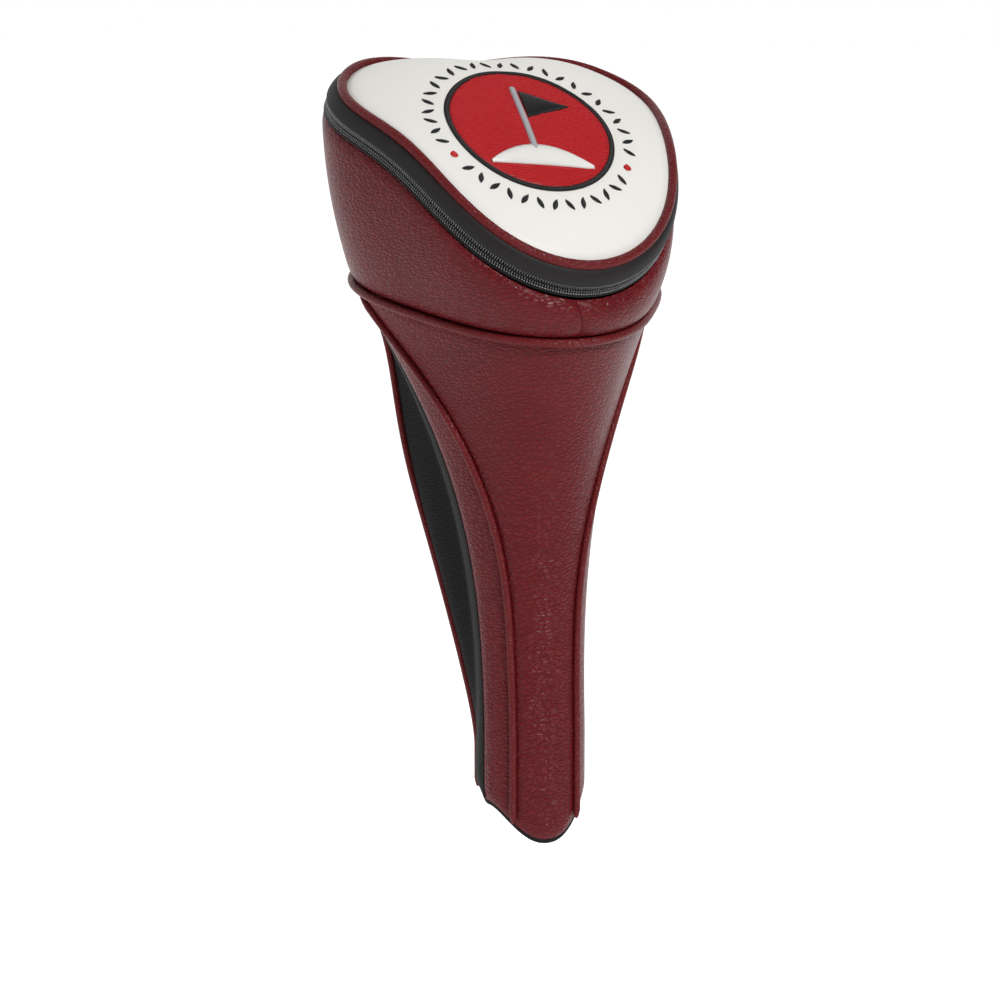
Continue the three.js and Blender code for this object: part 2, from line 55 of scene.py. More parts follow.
RAD = pi / 180

# Crown outline, rim and dome.
CROWN_CENTRE = np.array([-5.0, 11.0, 304.5])
CROWN_TILT = 36.2 * RAD
CROWN_LEAN = 5.6 * RAD
CROWN_TURN = 7.2 * RAD
CROWN_FRONT = 90.5
CROWN_SIDE = 66.2
CROWN_CORNER = 71.6
CROWN_BACK = 60.0
BACK_SQUEEZE = 0.765
BACK_DROP = 9.6
RIM_WAVE = 5.8
DOME_HEIGHT = 8.1

# Wall and neck.
SEAM_HEIGHT = 227.2
SEAM_SETBACK = 19.0
SEAM_TILT = 12.3 * RAD
SEAM_RADIUS = 63.5
SEAM_TRIANGLE = 0.085
WALL_TOP = (6.8, -14.0)
WALL_BULGE = 3.5
WALL_SEAM = 4 * RAD
BACK_SEAM = 122 * RAD
NECK_RADIUS = 23.5
NECK_STRAIGHT = 0.19
BACK_SWELL = 0.52
SWELL_FOOT = 0.15
GUSSET_DEPTH = 2.5
FRONT_EDGE = (36 * RAD, 105 * RAD)
SIDE_EDGE = (76 * RAD, 111 * RAD)
BACK_EDGE = (134 * RAD, 122 * RAD)
HEM_SIDE = 15.0
HEM_GUSSET = 20.0
HEM_BACK = 9.0
NECK_TOP = 0.993

# Layers behind the skin, as inner and outer offsets from it.
LINING_LAYER = (-6.6, -5.7)
WALL_FOAM_LAYER = (-4.3, -2.1)
NECK_FOAM_LAYER = (-4.2, -2.1)
ELASTIC_LAYER = (-8.0, -7.1)
HEM_LAYER = (-3.0, -1.3)

# Zip.
ZIP_END = 150 * RAD
HINGE_HALF = 24 * RAD
TOOTH_PITCH = 1.12
UPPER_ROW = -9.5
LOWER_ROW = -11.4

# Emblem.
EMBLEM_AHEAD = 23.0
EMBLEM_RADIUS = 34.6
EMBLEM_RIM = 2.4
WREATH_RADIUS = 43.0
WREATH_ARCS = ((-104, 106, 25), (128, 232, 13))
DOT_ANGLES = (297 * RAD, 423 * RAD)
POLE_SIDES = (-0.085, -0.005)
POLE_ENDS = (-0.4, 0.72)
MOUND_REACH = 0.66
MOUND_FOOT = -0.66
MOUND_BROW = -0.62
MOUND_RISE = 0.3

# Camera and light.
VIEW_AZIMUTH = -19.1
VIEW_ELEVATION = 9.1
VIEW_TARGET = (-0.0064, 0.0195, 0.1384)
VIEW_DISTANCE = 1.3
LENS = 110.0
FLOOR_HEIGHT = -0.075
FLOOR_GLOW = 0.72
SKY = ((0.0, 0.10), (0.55, 1.0))
LIGHTS = (
    ("key_light", (0.30, -1.0, 1.0), 0.3, 15.0),
    ("left_light", (-1.3, -0.4, 0.7), 0.35, 3.5),
)


# ---------------------------------------------------------------- shape of the cover

def smooth(x):
    t = np.clip(x, 0, 1)
    return t * t * (3 - 2 * t)


def lerp(a, b, t):
    return a + (b - a) * t


def unit(v):
    return v / np.linalg.norm(v, axis=-1, keepdims=True)


AHEAD = np.array([0, -cos(CROWN_TILT), -sin(CROWN_TILT)])
NORMAL = np.array(
    [sin(CROWN_LEAN), -sin(CROWN_TILT) * cos(CROWN_LEAN), cos(CROWN_TILT) * cos(CROWN_LEAN)]
)
ACROSS = np.cross(NORMAL, AHEAD)

EVEN_PART = (CROWN_FRONT + CROWN_BACK - CROWN_SIDE - CROWN_CORNER) / 3
ODD_PART = ((CROWN_FRONT - CROWN_BACK) / 2 - CROWN_SIDE + CROWN_CORNER) / 3
OUTLINE = (
    (CROWN_SIDE + CROWN_CORNER + EVEN_PART) / 2,
    (CROWN_FRONT - CROWN_BACK) / 2 - ODD_PART,
    EVEN_PART,
    ODD_PART,
)


def turned(angle):
    """The angle from the front, from 0 to 180 degrees."""
    return np.abs(np.arctan2(np.sin(angle), np.cos(angle)))


def crown_reach(angle):
    away = angle - CROWN_TURN
    reach = sum(part * np.cos(i * away) for i, part in enumerate(OUTLINE))
    depth = np.where(np.cos(away) < 0, BACK_SQUEEZE, 1.0)
    return reach / np.hypot(np.sin(away), np.cos(away) / depth)


def rim_rise(angle):
    away = turned(angle - CROWN_TURN)
    wave = np.where(away < 120 * RAD, -RIM_WAVE * np.cos(3 * away), -RIM_WAVE)
    return wave - BACK_DROP * smooth((away / RAD - 100) / 80)


def crown_at(angle, reach, rise):
    angle, reach, rise = np.broadcast_arrays(angle, reach, rise)
    return (
        CROWN_CENTRE
        + (reach * np.sin(angle))[..., None] * ACROSS
        + (reach * np.cos(angle))[..., None] * AHEAD
        + rise[..., None] * NORMAL
    )


def rim_at(angle, grow, rise):
    return crown_at(angle, crown_reach(angle) + grow, rim_rise(angle) + rise)


def dome_at(across, ahead, lift):
    angle = np.arctan2(across, ahead)
    reach = np.hypot(across, ahead)
    part = np.minimum(1, reach / crown_reach(angle))
    height = DOME_HEIGHT * (1 - part**2.4) + rim_rise(angle) * part**3
    return crown_at(angle, reach, height + lift)


def edge_angle(edge, height):
    sweep = np.maximum(0, (height - 0.4) / 0.6) ** 2
    return lerp(edge[0], edge[1], sweep)


def flare(height):
    """0 along the straight lower neck, then up to 1 at the seam."""
    return np.maximum(0, (height - NECK_STRAIGHT) / (1 - NECK_STRAIGHT))


def back_swell(away, height):
    """How far the back panel stands out, as a share of the neck's reach."""
    x = np.clip((height - SWELL_FOOT) / (1 - SWELL_FOOT), 0, 1)
    return BACK_SWELL * x**1.5 * (1 - x) ** 1.7 / 0.1095 * smooth((away / RAD - 119) / 14)


def gusset_dip(away, height):
    """How far the stretch gussets sink in between their seams, in millimetres."""
    start = edge_angle(SIDE_EDGE, height)
    x = np.clip((away - start) / (edge_angle(BACK_EDGE, height) - start), 0, 1)
    return GUSSET_DEPTH * np.sin(pi * x) * np.sin(pi * np.clip(height, 0, 1))


def neck_at(angle, height, swell, dip):
    t = flare(height)
    tilt = SEAM_TILT * t**1.6
    reach = lerp(NECK_RADIUS, SEAM_RADIUS, t**2.4)
    reach = reach * (1 + SEAM_TRIANGLE * t**1.2 * np.cos(3 * angle))
    reach = reach * (1 + swell) - dip
    x = reach * np.sin(angle)
    y = SEAM_SETBACK * t**1.3 - reach * np.cos(angle) * np.cos(tilt)
    z = SEAM_HEIGHT * height - reach * np.cos(angle) * np.sin(tilt)
    return np.stack(np.broadcast_arrays(x, y, z), -1)


def neck_base(angle, height):
    away = turned(angle)
    return neck_at(angle, height, back_swell(away, height), gusset_dip(away, height))


def body_base(angle, height):
    return neck_at(angle, height, 0.0, 0.0)


def wall_base(angle, height):
    foot = neck_base(angle, np.ones_like(height))
    top = rim_at(angle, *WALL_TOP)
    out = np.stack([np.sin(angle), -np.cos(angle), np.zeros_like(angle)], -1)
    bulge = WALL_BULGE * np.sin(pi * np.clip(height, 0, 1)) ** 0.8
    return foot + (top - foot) * height[..., None] + out * bulge[..., None]


def hem_height(angle):
    away = turned(angle) / RAD
    front = HEM_SIDE * smooth(away / 70) ** 1.2
    gusset = (HEM_GUSSET - HEM_SIDE) * smooth((away - 70) / 25)
    back = (HEM_BACK - HEM_GUSSET) * smooth((away - 120) / 30)
    return (front + gusset + back) / SEAM_HEIGHT


def face_normal(base, angle, height):
    low = np.maximum(0, height - 0.01)
    high = np.minimum(1, height + 0.01)
    around = base(angle + 0.01, height) - base(angle - 0.01, height)
    up = base(angle, high) - base(angle, low)
    return unit(np.cross(around, up))


def offset_at(base, angle, height, offset):
    angle, height = np.broadcast_arrays(angle * 1.0, height * 1.0)
    normal = face_normal(base, angle, height)
    return base(angle, height) + normal * np.asarray(offset)[..., None]


# ---------------------------------------------------------------- meshes

def make_mesh(name, points, faces, material, body):
    """An object of millimetre points that rides a body, or no body when none is given."""
    mesh = bpy.data.meshes.new(name)
    mesh.from_pydata((np.asarray(points) * MM).tolist(), [], faces)
    bm = bmesh.new()
    bm.from_mesh(mesh)
    bmesh.ops.recalc_face_normals(bm, faces=bm.faces)
    bm.to_mesh(mesh)
    bm.free()
    mesh.materials.append(material)
    mesh.polygons.foreach_set("use_smooth", [True] * len(mesh.polygons))
    obj = bpy.data.objects.new(name, mesh)
    bpy.context.collection.objects.link(obj)
    if body:
        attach(obj, body)
    return obj


def loft(rows, wrap):
    """Points and quads that join closed loops of equal length; rows is (count, size, 3)."""
    count, size = rows.shape[:2]
    faces = []
    for i in range(count if wrap else count - 1):
        k = (i + 1) % count
        for j in range(size):
            n = (j + 1) % size
            faces.append((i * size + j, i * size + n, k * size + n, k * size + j))
    if not wrap:
        faces.append(tuple(range(size)))
        faces.append(tuple(range((count - 1) * size, count * size)))
    return rows.reshape(-1, 3), faces


def shell(name, outer, inner, material, body, wrap=False):
    """A closed sheet between two grids of (rows, columns, 3); wrap joins the row ends."""
    rows, columns = outer.shape[:2]
    points = np.concatenate([outer.reshape(-1, 3), inner.reshape(-1, 3)])
    half = rows * columns
    faces = []
    last = columns if wrap else columns - 1
    for i in range(rows - 1):
        for j in range(last):
            n = (j + 1) % columns
            a, b = i * columns + j, i * columns + n
            c, d = a + columns, b + columns
            faces.append((a, b, d, c))
            faces.append((half + a, half + c, half + d, half + b))
    for j in range(last):
        n = (j + 1) % columns
        for row in (0, (rows - 1) * columns):
            a, b = row + j, row + n
            faces.append((a, b, half + b, half + a))
    if not wrap:
        for i in range(rows - 1):
            for column in (0, columns - 1):
                a = i * columns + column
                faces.append((a, a + columns, half + a + columns, half + a))
    return make_mesh(name, points, faces, material, body)


def edge_roll(distance, depth, width):
    """How far a sheet sinks at a given distance from its sewn edge."""
    return depth * (1 - np.clip(distance / width, 0, 1)) ** 2.2


def eased(count, power=0.75):
    """Shares from 0 to 1, closer together towards both ends."""
    t = np.linspace(-1, 1, count)
    return 0.5 + 0.5 * np.sign(t) * (1 - (1 - np.abs(t)) ** (1 / power))


def sewn_panel(name, node, base, start, end, low, high, material, body, size, puff):
    """A leather or knit panel whose sewn edges roll in towards their seams."""
    columns, rows = size
    side = eased(columns)[None, :]
    climb = np.linspace(0, 1, rows)[:, None]
    foot = lerp(start(np.full(1, 0.1)), end(np.full(1, 0.1)), side)
    height = lerp(low(foot), high(foot), climb)
    angle = lerp(start(height), end(height), side)
    outer = base(angle, height)
    breadth = np.linalg.norm(np.diff(outer, axis=1), axis=-1)
    run = np.concatenate([np.zeros((rows, 1)), np.cumsum(breadth, axis=1)], axis=1)
    from_side = np.minimum(run, run[:, -1:] - run)
    length = np.linalg.norm(np.diff(outer, axis=0), axis=-1)
    rise = np.concatenate([np.zeros((1, columns)), np.cumsum(length, axis=0)], axis=0)
    from_end = np.minimum(rise, rise[-1:] - rise)
    sink = edge_roll(from_side, puff, 6.0) + edge_roll(from_end, 1.3 * puff, 7.0)
    sink = np.minimum(sink, 1.5 * puff)
    outer = offset_at(base, angle, height, 0.25 - sink)
    inner = offset_at(base, angle, height, -1.1 - sink * 0.7)
    obj = shell(name, outer, inner, material, body)
    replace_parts(obj, node)
    return obj


def cord_along(name, path, first, second, radius, sides, material, body, wrap=False):
    turn = np.arange(sides) / sides * 2 * pi
    if not wrap:
        from_end = np.minimum(np.arange(len(path)), len(path) - 1 - np.arange(len(path)))
        radius = (radius * np.sqrt(np.clip((from_end + 0.5) / 5, 0, 1)))[:, None, None]
    ring = radius * (
        np.cos(turn)[None, :, None] * first[:, None, :]
        + np.sin(turn)[None, :, None] * second[:, None, :]
    )
    points, faces = loft(path[:, None, :] + ring, wrap)
    return make_mesh(name, points, faces, material, body)


def seam_frame(path, normal, wrap=False):
    ahead = np.roll(path, -1, axis=0) - np.roll(path, 1, axis=0)
    if not wrap:
        ahead[0] = path[1] - path[0]
        ahead[-1] = path[-1] - path[-2]
    return unit(np.cross(unit(ahead), normal))


def rim_strip(name, node, profile, start, end, steps, material, body):
    wrap = end - start > 359 * RAD
    angle = start + (end - start) * np.arange(steps if wrap else steps + 1) / steps
    rows = np.stack([rim_at(angle, grow, rise) for grow, rise in profile], axis=1)
    points, faces = loft(rows, wrap)
    obj = make_mesh(name, points, faces, material, body)
    if node:
        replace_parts(obj, node)
    return obj


def rounded(profile, times=3):
    """Corner cutting on a closed profile of (grow, rise) pairs."""
    points = np.array(profile, float)
    for _ in range(times):
        after = np.roll(points, -1, axis=0)
        points = np.stack([points * 0.75 + after * 0.25, points * 0.25 + after * 0.75], 1)
        points = points.reshape(-1, 2)
    return [tuple(p) for p in points]


def beads(name, centres, along, across, up, size, material, body, sides=6, rings=4):
    """Small rounded bars, one at each centre, joined into one mesh."""
    length, width, height = size
    points, faces = [], []
    for centre, a, b, c in zip(centres, along, across, up):
        first = len(points)
        for k in range(1, rings):
            lift = cos(pi * k / rings)
            wide = sin(pi * k / rings) ** 0.45
            for j in range(sides):
                turn = 2 * pi * j / sides
                points.append(
                    centre
                    + a * (cos(turn) * length / 2 * wide)
                    + c * (sin(turn) * height / 2 * wide)
                    + b * (lift * width / 2)
                )
        for k in range(rings - 2):
            for j in range(sides):
                n = (j + 1) % sides
                low, high = first + k * sides, first + (k + 1) * sides
                faces.append((low + j, low + n, high + n, high + j))
        faces.append(tuple(first + j for j in range(sides)))
        faces.append(tuple(first + (rings - 2) * sides + j for j in range(sides)))
    return make_mesh(name, points, faces, material, body)


def thread(name, stitches, radius, lift, arch, material, body, sides=5, rings=5):
    """Stitches lying on the dome; each is a pair of (across, ahead) ends."""
    ends = np.array(stitches, float)
    share = np.linspace(0, 1, rings)[None, :, None]
    flat = lerp(ends[:, None, 0], ends[:, None, 1], share)
    bow = np.sin(pi * share[..., 0]) ** 0.6
    path = dome_at(flat[..., 0], flat[..., 1], lift + arch * bow - radius * 0.4)
    along = unit(path[:, -1] - path[:, 0])[:, None, :]
    side = unit(np.cross(along, NORMAL))
    turn = np.arange(sides) / sides * 2 * pi
    thick = radius * (0.55 + 0.45 * bow)[..., None, None]
    ring = thick * (
        np.cos(turn)[None, None, :, None] * side[:, :, None, :]
        + np.sin(turn)[None, None, :, None] * NORMAL
    )
    points = (path[:, :, None, :] + ring).reshape(-1, 3)
    faces = []
    for s in range(len(ends)):
        base = s * rings * sides
        for k in range(rings - 1):
            for j in range(sides):
                n = (j + 1) % sides
                low, high = base + k * sides, base + (k + 1) * sides
                faces.append((low + j, low + n, high + n, high + j))
        faces.append(tuple(base + j for j in range(sides)))
        faces.append(tuple(base + (rings - 1) * sides + j for j in range(sides)))
    return make_mesh(name, points, faces, material, body)


# ---------------------------------------------------------------- materials

def new_material(name, color, roughness, **values):
    material = bpy.data.materials.new(name)
    material.use_nodes = True
    shader = material.node_tree.nodes["Principled BSDF"]
    shader.inputs["Base Color"].default_value = (*color, 1)
    shader.inputs["Roughness"].default_value = roughness
    for label, value in values.items():
        shader.inputs[label.replace("_", " ")].default_value = value
    return material


def add_node(material, kind, **inputs):
    node = material.node_tree.nodes.new(kind)
    for label, value in inputs.items():
        node.inputs[label].default_value = value
    return node


def wire(material, source, target):
    material.node_tree.links.new(source, target)


def scaled_position(material, scale):
    place = add_node(material, "ShaderNodeTexCoord")
    mapping = add_node(material, "ShaderNodeMapping", Scale=scale)
    wire(material, place.outputs["Object"], mapping.inputs["Vector"])
    return mapping.outputs["Vector"]


def ramp(material, source, stops):
    node = material.node_tree.nodes.new("ShaderNodeValToRGB")
    elements = node.color_ramp.elements
    for element, (position, color) in zip(elements, stops):
        element.position = position
        element.color = (*color, 1)
    wire(material, source, node.inputs["Fac"])
    return node.outputs["Color"]


def bump(material, height, strength, distance, previous=None):
    node = add_node(material, "ShaderNodeBump", Strength=strength, Distance=distance)
    wire(material, height, node.inputs["Height"])
    if previous is not None:
        wire(material, previous, node.inputs["Normal"])
    return node.outputs["Normal"]


def finish_bump(material, normal):
    shader = material.node_tree.nodes["Principled BSDF"]
    wire(material, normal, shader.inputs["Normal"])


def pebble_leather(name, shaded_crease_color, light, pebble, depth):
    """Leather with flattened pebbles, a fine skin grain and slightly uneven dye, with painted shade
    in the creases between pebbles and painted highlight on the pebble tops.
    """
    material = new_material(name, light, 0.32, Specular_IOR_Level=0.14)
    shader = material.node_tree.nodes["Principled BSDF"]
    place = scaled_position(material, (1, 1, 1.8))
    warp = add_node(material, "ShaderNodeTexNoise", Scale=300, Detail=1)
    wire(material, place, warp.inputs["Vector"])
    mix = add_node(material, "ShaderNodeVectorMath")
    mix.operation = "MULTIPLY_ADD"
    mix.inputs[1].default_value = (0.0006, 0.0006, 0.0006)
    wire(material, warp.outputs["Color"], mix.inputs[0])
    wire(material, place, mix.inputs[2])
    cells = add_node(material, "ShaderNodeTexVoronoi", Scale=1 / (pebble * MM))
    cells.feature = "DISTANCE_TO_EDGE"
    wire(material, mix.outputs["Vector"], cells.inputs["Vector"])
    round_top = add_node(material, "ShaderNodeMapRange")
    round_top.interpolation_type = "SMOOTHERSTEP"
    round_top.inputs["From Min"].default_value = -0.06
    round_top.inputs["From Max"].default_value = 0.34
    wire(material, cells.outputs["Distance"], round_top.inputs["Value"])
    fine = add_node(material, "ShaderNodeTexNoise", Scale=3200, Detail=3)
    wire(material, place, fine.inputs["Vector"])
    broad = add_node(material, "ShaderNodeTexNoise", Scale=38, Detail=3)
    wire(material, place, broad.inputs["Vector"])
    # Base colour runs from the crease colour to the top colour over each pebble: painted shade in
    # the creases, painted highlight on the tops.
    pebble_shade_and_highlight = ramp(material, round_top.outputs["Result"], [(0.05, shaded_crease_color), (0.7, light)])
    blotch = add_node(material, "ShaderNodeMix")
    blotch.data_type = "RGBA"
    blotch.blend_type = "MULTIPLY"
    blotch.inputs["Factor"].default_value = 0.25
    wire(material, pebble_shade_and_highlight, blotch.inputs[6])
    wire(material, broad.outputs["Fac"], blotch.inputs[7])
    wire(material, blotch.outputs[2], shader.inputs["Base Color"])
    soft = bump(material, broad.outputs["Fac"], 0.35, 0.0009)
    grain = bump(material, fine.outputs["Fac"], 0.08, 0.00005, soft)
    finish_bump(material, bump(material, round_top.outputs["Result"], depth, 0.00022, grain))
    return material


def ribbed_fabric(name, color, pitch, strength, roughness, direction="Z"):
    """Cloth with fine ribs and a little fuzz."""
    material = new_material(name, color, roughness, Specular_IOR_Level=0.15, Sheen_Weight=0.04)
    material.node_tree.nodes["Principled BSDF"].inputs["Sheen Roughness"].default_value = 0.5
    place = scaled_position(material, (1, 1, 1))
    ribs = add_node(material, "ShaderNodeTexWave", Scale=pi / (10 * pitch * MM), Distortion=1.5)
    ribs.bands_direction = direction
    ribs.inputs["Detail Scale"].default_value = 3
    wire(material, place, ribs.inputs["Vector"])
    fuzz = add_node(material, "ShaderNodeTexNoise", Scale=2600, Detail=3)
    wire(material, place, fuzz.inputs["Vector"])
    base = bump(material, fuzz.outputs["Fac"], 0.3, 0.0001)
    finish_bump(material, bump(material, ribs.outputs["Fac"], strength, 0.0003, base))
    return material


def soft_skin(name, color, roughness, grain, strength):
    """Smooth coated skin or foam rubber with a very fine grain."""
    material = new_material(name, color, roughness, Specular_IOR_Level=0.22)
    place = scaled_position(material, (1, 1, 1))
    fine = add_node(material, "ShaderNodeTexNoise", Scale=grain, Detail=4)
    wire(material, place, fine.inputs["Vector"])
    broad = add_node(material, "ShaderNodeTexNoise", Scale=30, Detail=2)
    wire(material, place, broad.inputs["Vector"])
    base = bump(material, broad.outputs["Fac"], 0.3, 0.0008)
    finish_bump(material, bump(material, fine.outputs["Fac"], strength, 0.0001, base))
    return material


def thread_material(name, color, roughness=0.42):
    material = new_material(name, color, roughness, Specular_IOR_Level=0.3, Sheen_Weight=0.03)
    place = scaled_position(material, (1, 1, 1))
    twist = add_node(material, "ShaderNodeTexNoise", Scale=5200, Detail=2)
    wire(material, place, twist.inputs["Vector"])
    finish_bump(material, bump(material, twist.outputs["Fac"], 0.5, 0.00008))
    return material


def metal(name, color, roughness):
    material = new_material(name, color, roughness, Metallic=1.0)
    place = scaled_position(material, (1, 1, 1))
    wear = add_node(material, "ShaderNodeTexNoise", Scale=900, Detail=3)
    wire(material, place, wear.inputs["Vector"])
    finish_bump(material, bump(material, wear.outputs["Fac"], 0.1, 0.00005))
    return material


# Each pebble leather gets a darker crease colour and a lighter top colour about its maroon: painted
# shade in the creases, painted highlight on the pebble tops.
MAROON = pebble_leather("maroon_leather", (0.092, 0.006, 0.009), (0.128, 0.009, 0.012), 2.9, 1.0)
PIPING = pebble_leather("maroon_piping", (0.11, 0.009, 0.011), (0.135, 0.011, 0.013), 2.0, 0.8)
WHITE = soft_skin("white_leather", (0.69, 0.675, 0.64), 0.4, 1500, 0.35)
NEOPRENE = soft_skin("black_neoprene", (0.0095, 0.0078, 0.0085), 0.6, 1800, 0.8)
KNIT = ribbed_fabric("black_knit", (0.0085, 0.008, 0.009), 1.0, 0.8, 0.8, "Z")
LINING = ribbed_fabric("black_lining", (0.010, 0.0095, 0.0105), 1.4, 0.4, 0.9, "X")
TAPE = ribbed_fabric("zip_tape", (0.0075, 0.0072, 0.008), 0.6, 0.8, 0.6, "X")
NYLON = new_material("zip_nylon", (0.034, 0.033, 0.035), 0.24, Specular_IOR_Level=0.8)
# Greyish zip thread whose colour is raised to light grey as painted highlight on the stitches.
ZIP_THREAD_PAINTED_HIGHLIGHT = thread_material("zip_thread_painted_highlight", (0.24, 0.235, 0.24), 0.35)
SEWING = thread_material("maroon_thread", (0.055, 0.008, 0.010))
FOAM = soft_skin("grey_foam", (0.42, 0.41, 0.38), 0.9, 1200, 1.0)
RED = thread_material("red_thread", (0.44, 0.004, 0.008), 0.42)
RED_GROUND = thread_material("red_ground", (0.36, 0.008, 0.012), 0.55)
BLACK = thread_material("black_thread", (0.006, 0.0055, 0.006), 0.45)
GREY = thread_material("grey_thread", (0.33, 0.33, 0.35), 0.35)
PALE = thread_material("white_thread", (0.74, 0.73, 0.70), 0.4)
SLIDER_METAL = metal("slider_metal", (0.045, 0.045, 0.05), 0.3)
STOP_METAL = metal("stop_metal", (0.62, 0.61, 0.60), 0.32)


# ---------------------------------------------------------------- neck

def edge(pair, sign=1.0):
    return lambda height: sign * edge_angle(pair, height)


def past_back(pair):
    return lambda height: 2 * pi - edge_angle(pair, height)


def level(value):
    return lambda angle: np.full_like(angle, value)


def build_neck():
    top = level(NECK_TOP)

    def panel(name, start, end, material, size, puff):
        sewn_panel(
            name, name, neck_base, start, end, hem_height, top, material, "cover", size, puff
        )

    panel("neck_front_panel", edge(FRONT_EDGE, -1), edge(FRONT_EDGE), MAROON, (90, 150), 0.9)
    panel("neck_side_panel_right", edge(FRONT_EDGE), edge(SIDE_EDGE), MAROON, (34, 150), 0.9)
    panel("neck_side_panel_left", edge(SIDE_EDGE, -1), edge(FRONT_EDGE, -1), MAROON, (34, 150), 0.9)
    panel("gusset_right", edge(SIDE_EDGE), edge(BACK_EDGE), KNIT, (34, 150), 0.6)
    panel("gusset_left", edge(BACK_EDGE, -1), edge(SIDE_EDGE, -1), KNIT, (34, 150), 0.6)
    panel("neck_back_panel", edge(BACK_EDGE), past_back(BACK_EDGE), MAROON, (60, 150), 0.9)


def neck_line(pair, sign, start, end, count, offset):
    height = np.linspace(start, end, count)
    angle = sign * edge_angle(pair, height)
    normal = face_normal(neck_base, angle, height)
    return neck_base(angle, height) + normal * offset, normal


def build_neck_piping():
    for side, sign in (("right", 1), ("left", -1)):
        for name, pair, radius, start in (
            ("front_piping", FRONT_EDGE, 1.6, 0.032),
            ("back_binding", BACK_EDGE, 1.45, 0.066),
        ):
            path, normal = neck_line(pair, sign, start, 0.985, 260, 0.75)
            across = seam_frame(path, normal)
            piece = f"{name}_{side}"
            obj = cord_along(piece, path, normal, across, radius, 14, PIPING, "cover")
            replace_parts(obj, piece)


def build_top_stitching():
    """A row of stitches in the front panel beside each piping."""
    for side, sign in (("right", 1), ("left", -1)):
        height = np.linspace(0.06, 0.93, 74)
        front, back = neck_base(0 * height, height), neck_base(0 * height + pi, height)
        reach = 0.5 * np.linalg.norm(front - back, axis=-1)
        angle = sign * (edge_angle(FRONT_EDGE, height) - 4.6 / reach)
        normal = face_normal(neck_base, angle, height)
        centre = neck_base(angle, height) + normal * 0.12
        ahead = unit(np.gradient(centre, axis=0))
        across = unit(np.cross(ahead, normal))
        size = (0.5, 1.9, 0.5)
        beads(f"top_stitching_{side}", centre, across, ahead, normal, size, SEWING, "cover")


def build_neck_inside():
    angle = (np.arange(90) / 90 * 2 * pi)[None, :]
    climb = np.linspace(0, 1, 40)[:, None]

    def sleeve(name, base, layer, low, high, material):
        height = lerp(low, high, climb) * np.ones_like(angle)
        around = angle * np.ones_like(climb)
        outer = offset_at(base, around, height, layer[1])
        inner = offset_at(base, around, height, layer[0])
        obj = shell(name, outer, inner, material, "cover", wrap=True)
        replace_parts(obj, name)

    hem = hem_height(angle)
    sleeve("neck_lining", body_base, LINING_LAYER, hem + 1.4 / SEAM_HEIGHT, 0.99, LINING)
    sleeve("neck_elastic_band", body_base, ELASTIC_LAYER, 0.2, 0.28, KNIT)
    foot, head = hem - 1.8 / SEAM_HEIGHT, hem + 1.5 / SEAM_HEIGHT
    sleeve("hem_binding", neck_base, HEM_LAYER, foot, head, KNIT)
    for name, start, end in (
        ("neck_front_foam", edge(FRONT_EDGE, -1), edge(FRONT_EDGE)),
        ("neck_back_foam", edge(BACK_EDGE), past_back(BACK_EDGE)),
    ):
        side = np.linspace(0.02, 0.98, 40)[None, :]
        foot = lerp(start(np.full(1, 0.1)), end(np.full(1, 0.1)), side)
        height = lerp(hem_height(foot) + 1.6 / SEAM_HEIGHT, 0.988, climb)
        around = lerp(start(height), end(height), side)
        outer = offset_at(neck_base, around, height, NECK_FOAM_LAYER[1])
        inner = offset_at(neck_base, around, height, NECK_FOAM_LAYER[0])
        pad = shell(name, outer, inner, FOAM, "cover")
        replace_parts(pad, name)


def build_seam_piping():
    angle = np.arange(360) / 360 * 2 * pi
    height = np.ones_like(angle)
    normal = face_normal(neck_base, angle, height)
    path = neck_base(angle, height) + normal * 0.7
    across = seam_frame(path, normal, wrap=True)
    obj = cord_along("seam_piping", path, normal, across, 1.85, 14, PIPING, "cover", wrap=True)
    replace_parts(obj, "seam_piping")


# ---------------------------------------------------------------- wall

def build_wall():
    def share(depth):
        def height(angle):
            zero = np.zeros_like(angle)
            rise = wall_base(angle, zero) - wall_base(angle, zero + 1)
            return depth / np.linalg.norm(rise, axis=-1)
        return height

    def fixed(angle):
        return lambda height: np.full_like(height, angle)

    foot = share(1.4)
    for name, start, end, columns in (
        ("wall_panel_right", WALL_SEAM, BACK_SEAM, 90),
        ("wall_panel_left", -BACK_SEAM, WALL_SEAM, 90),
        ("wall_back_panel", BACK_SEAM, 2 * pi - BACK_SEAM, 80),
    ):
        sewn_panel(
            name, name, wall_base, fixed(start), fixed(end), foot, level(1.0),
            MAROON, "cover", (columns, 48), 0.9,
        )
    angle = (np.arange(120) / 120 * 2 * pi)[None, :]
    climb = np.linspace(0, 1, 16)[:, None]
    around = angle * np.ones_like(climb)
    height = lerp(share(2.4)(angle), 1 - share(4.2)(angle), climb)
    for name, layer, material in (
        ("wall_foam", WALL_FOAM_LAYER, FOAM),
        ("wall_lining", LINING_LAYER, LINING),
    ):
        outer = offset_at(wall_base, around, height, layer[1])
        inner = offset_at(wall_base, around, height, layer[0])
        sleeve = shell(name, outer, inner, material, "cover", wrap=True)
        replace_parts(sleeve, name)


# ---------------------------------------------------------------- zip

def build_tapes():
    lower = [
        (4.3, -10.95), (5.1, -10.95), (5.3, -12.2), (6.3, -12.7),
        (6.7, -13.5), (6.2, -14.4), (4.3, -14.0),
    ]
    upper = [(4.3, -9.95), (5.1, -9.95), (5.3, -8.9), (5.7, -8.4), (5.5, -7.6), (4.3, -7.4)]
    rim_strip("lower_zip_tape", "lower_zip_tape", rounded(lower, 2), 0, 2 * pi, 260, TAPE, "cover")
    rim_strip("upper_zip_tape", "upper_zip_tape", rounded(upper, 2), 0, 2 * pi, 260, TAPE, "crown")


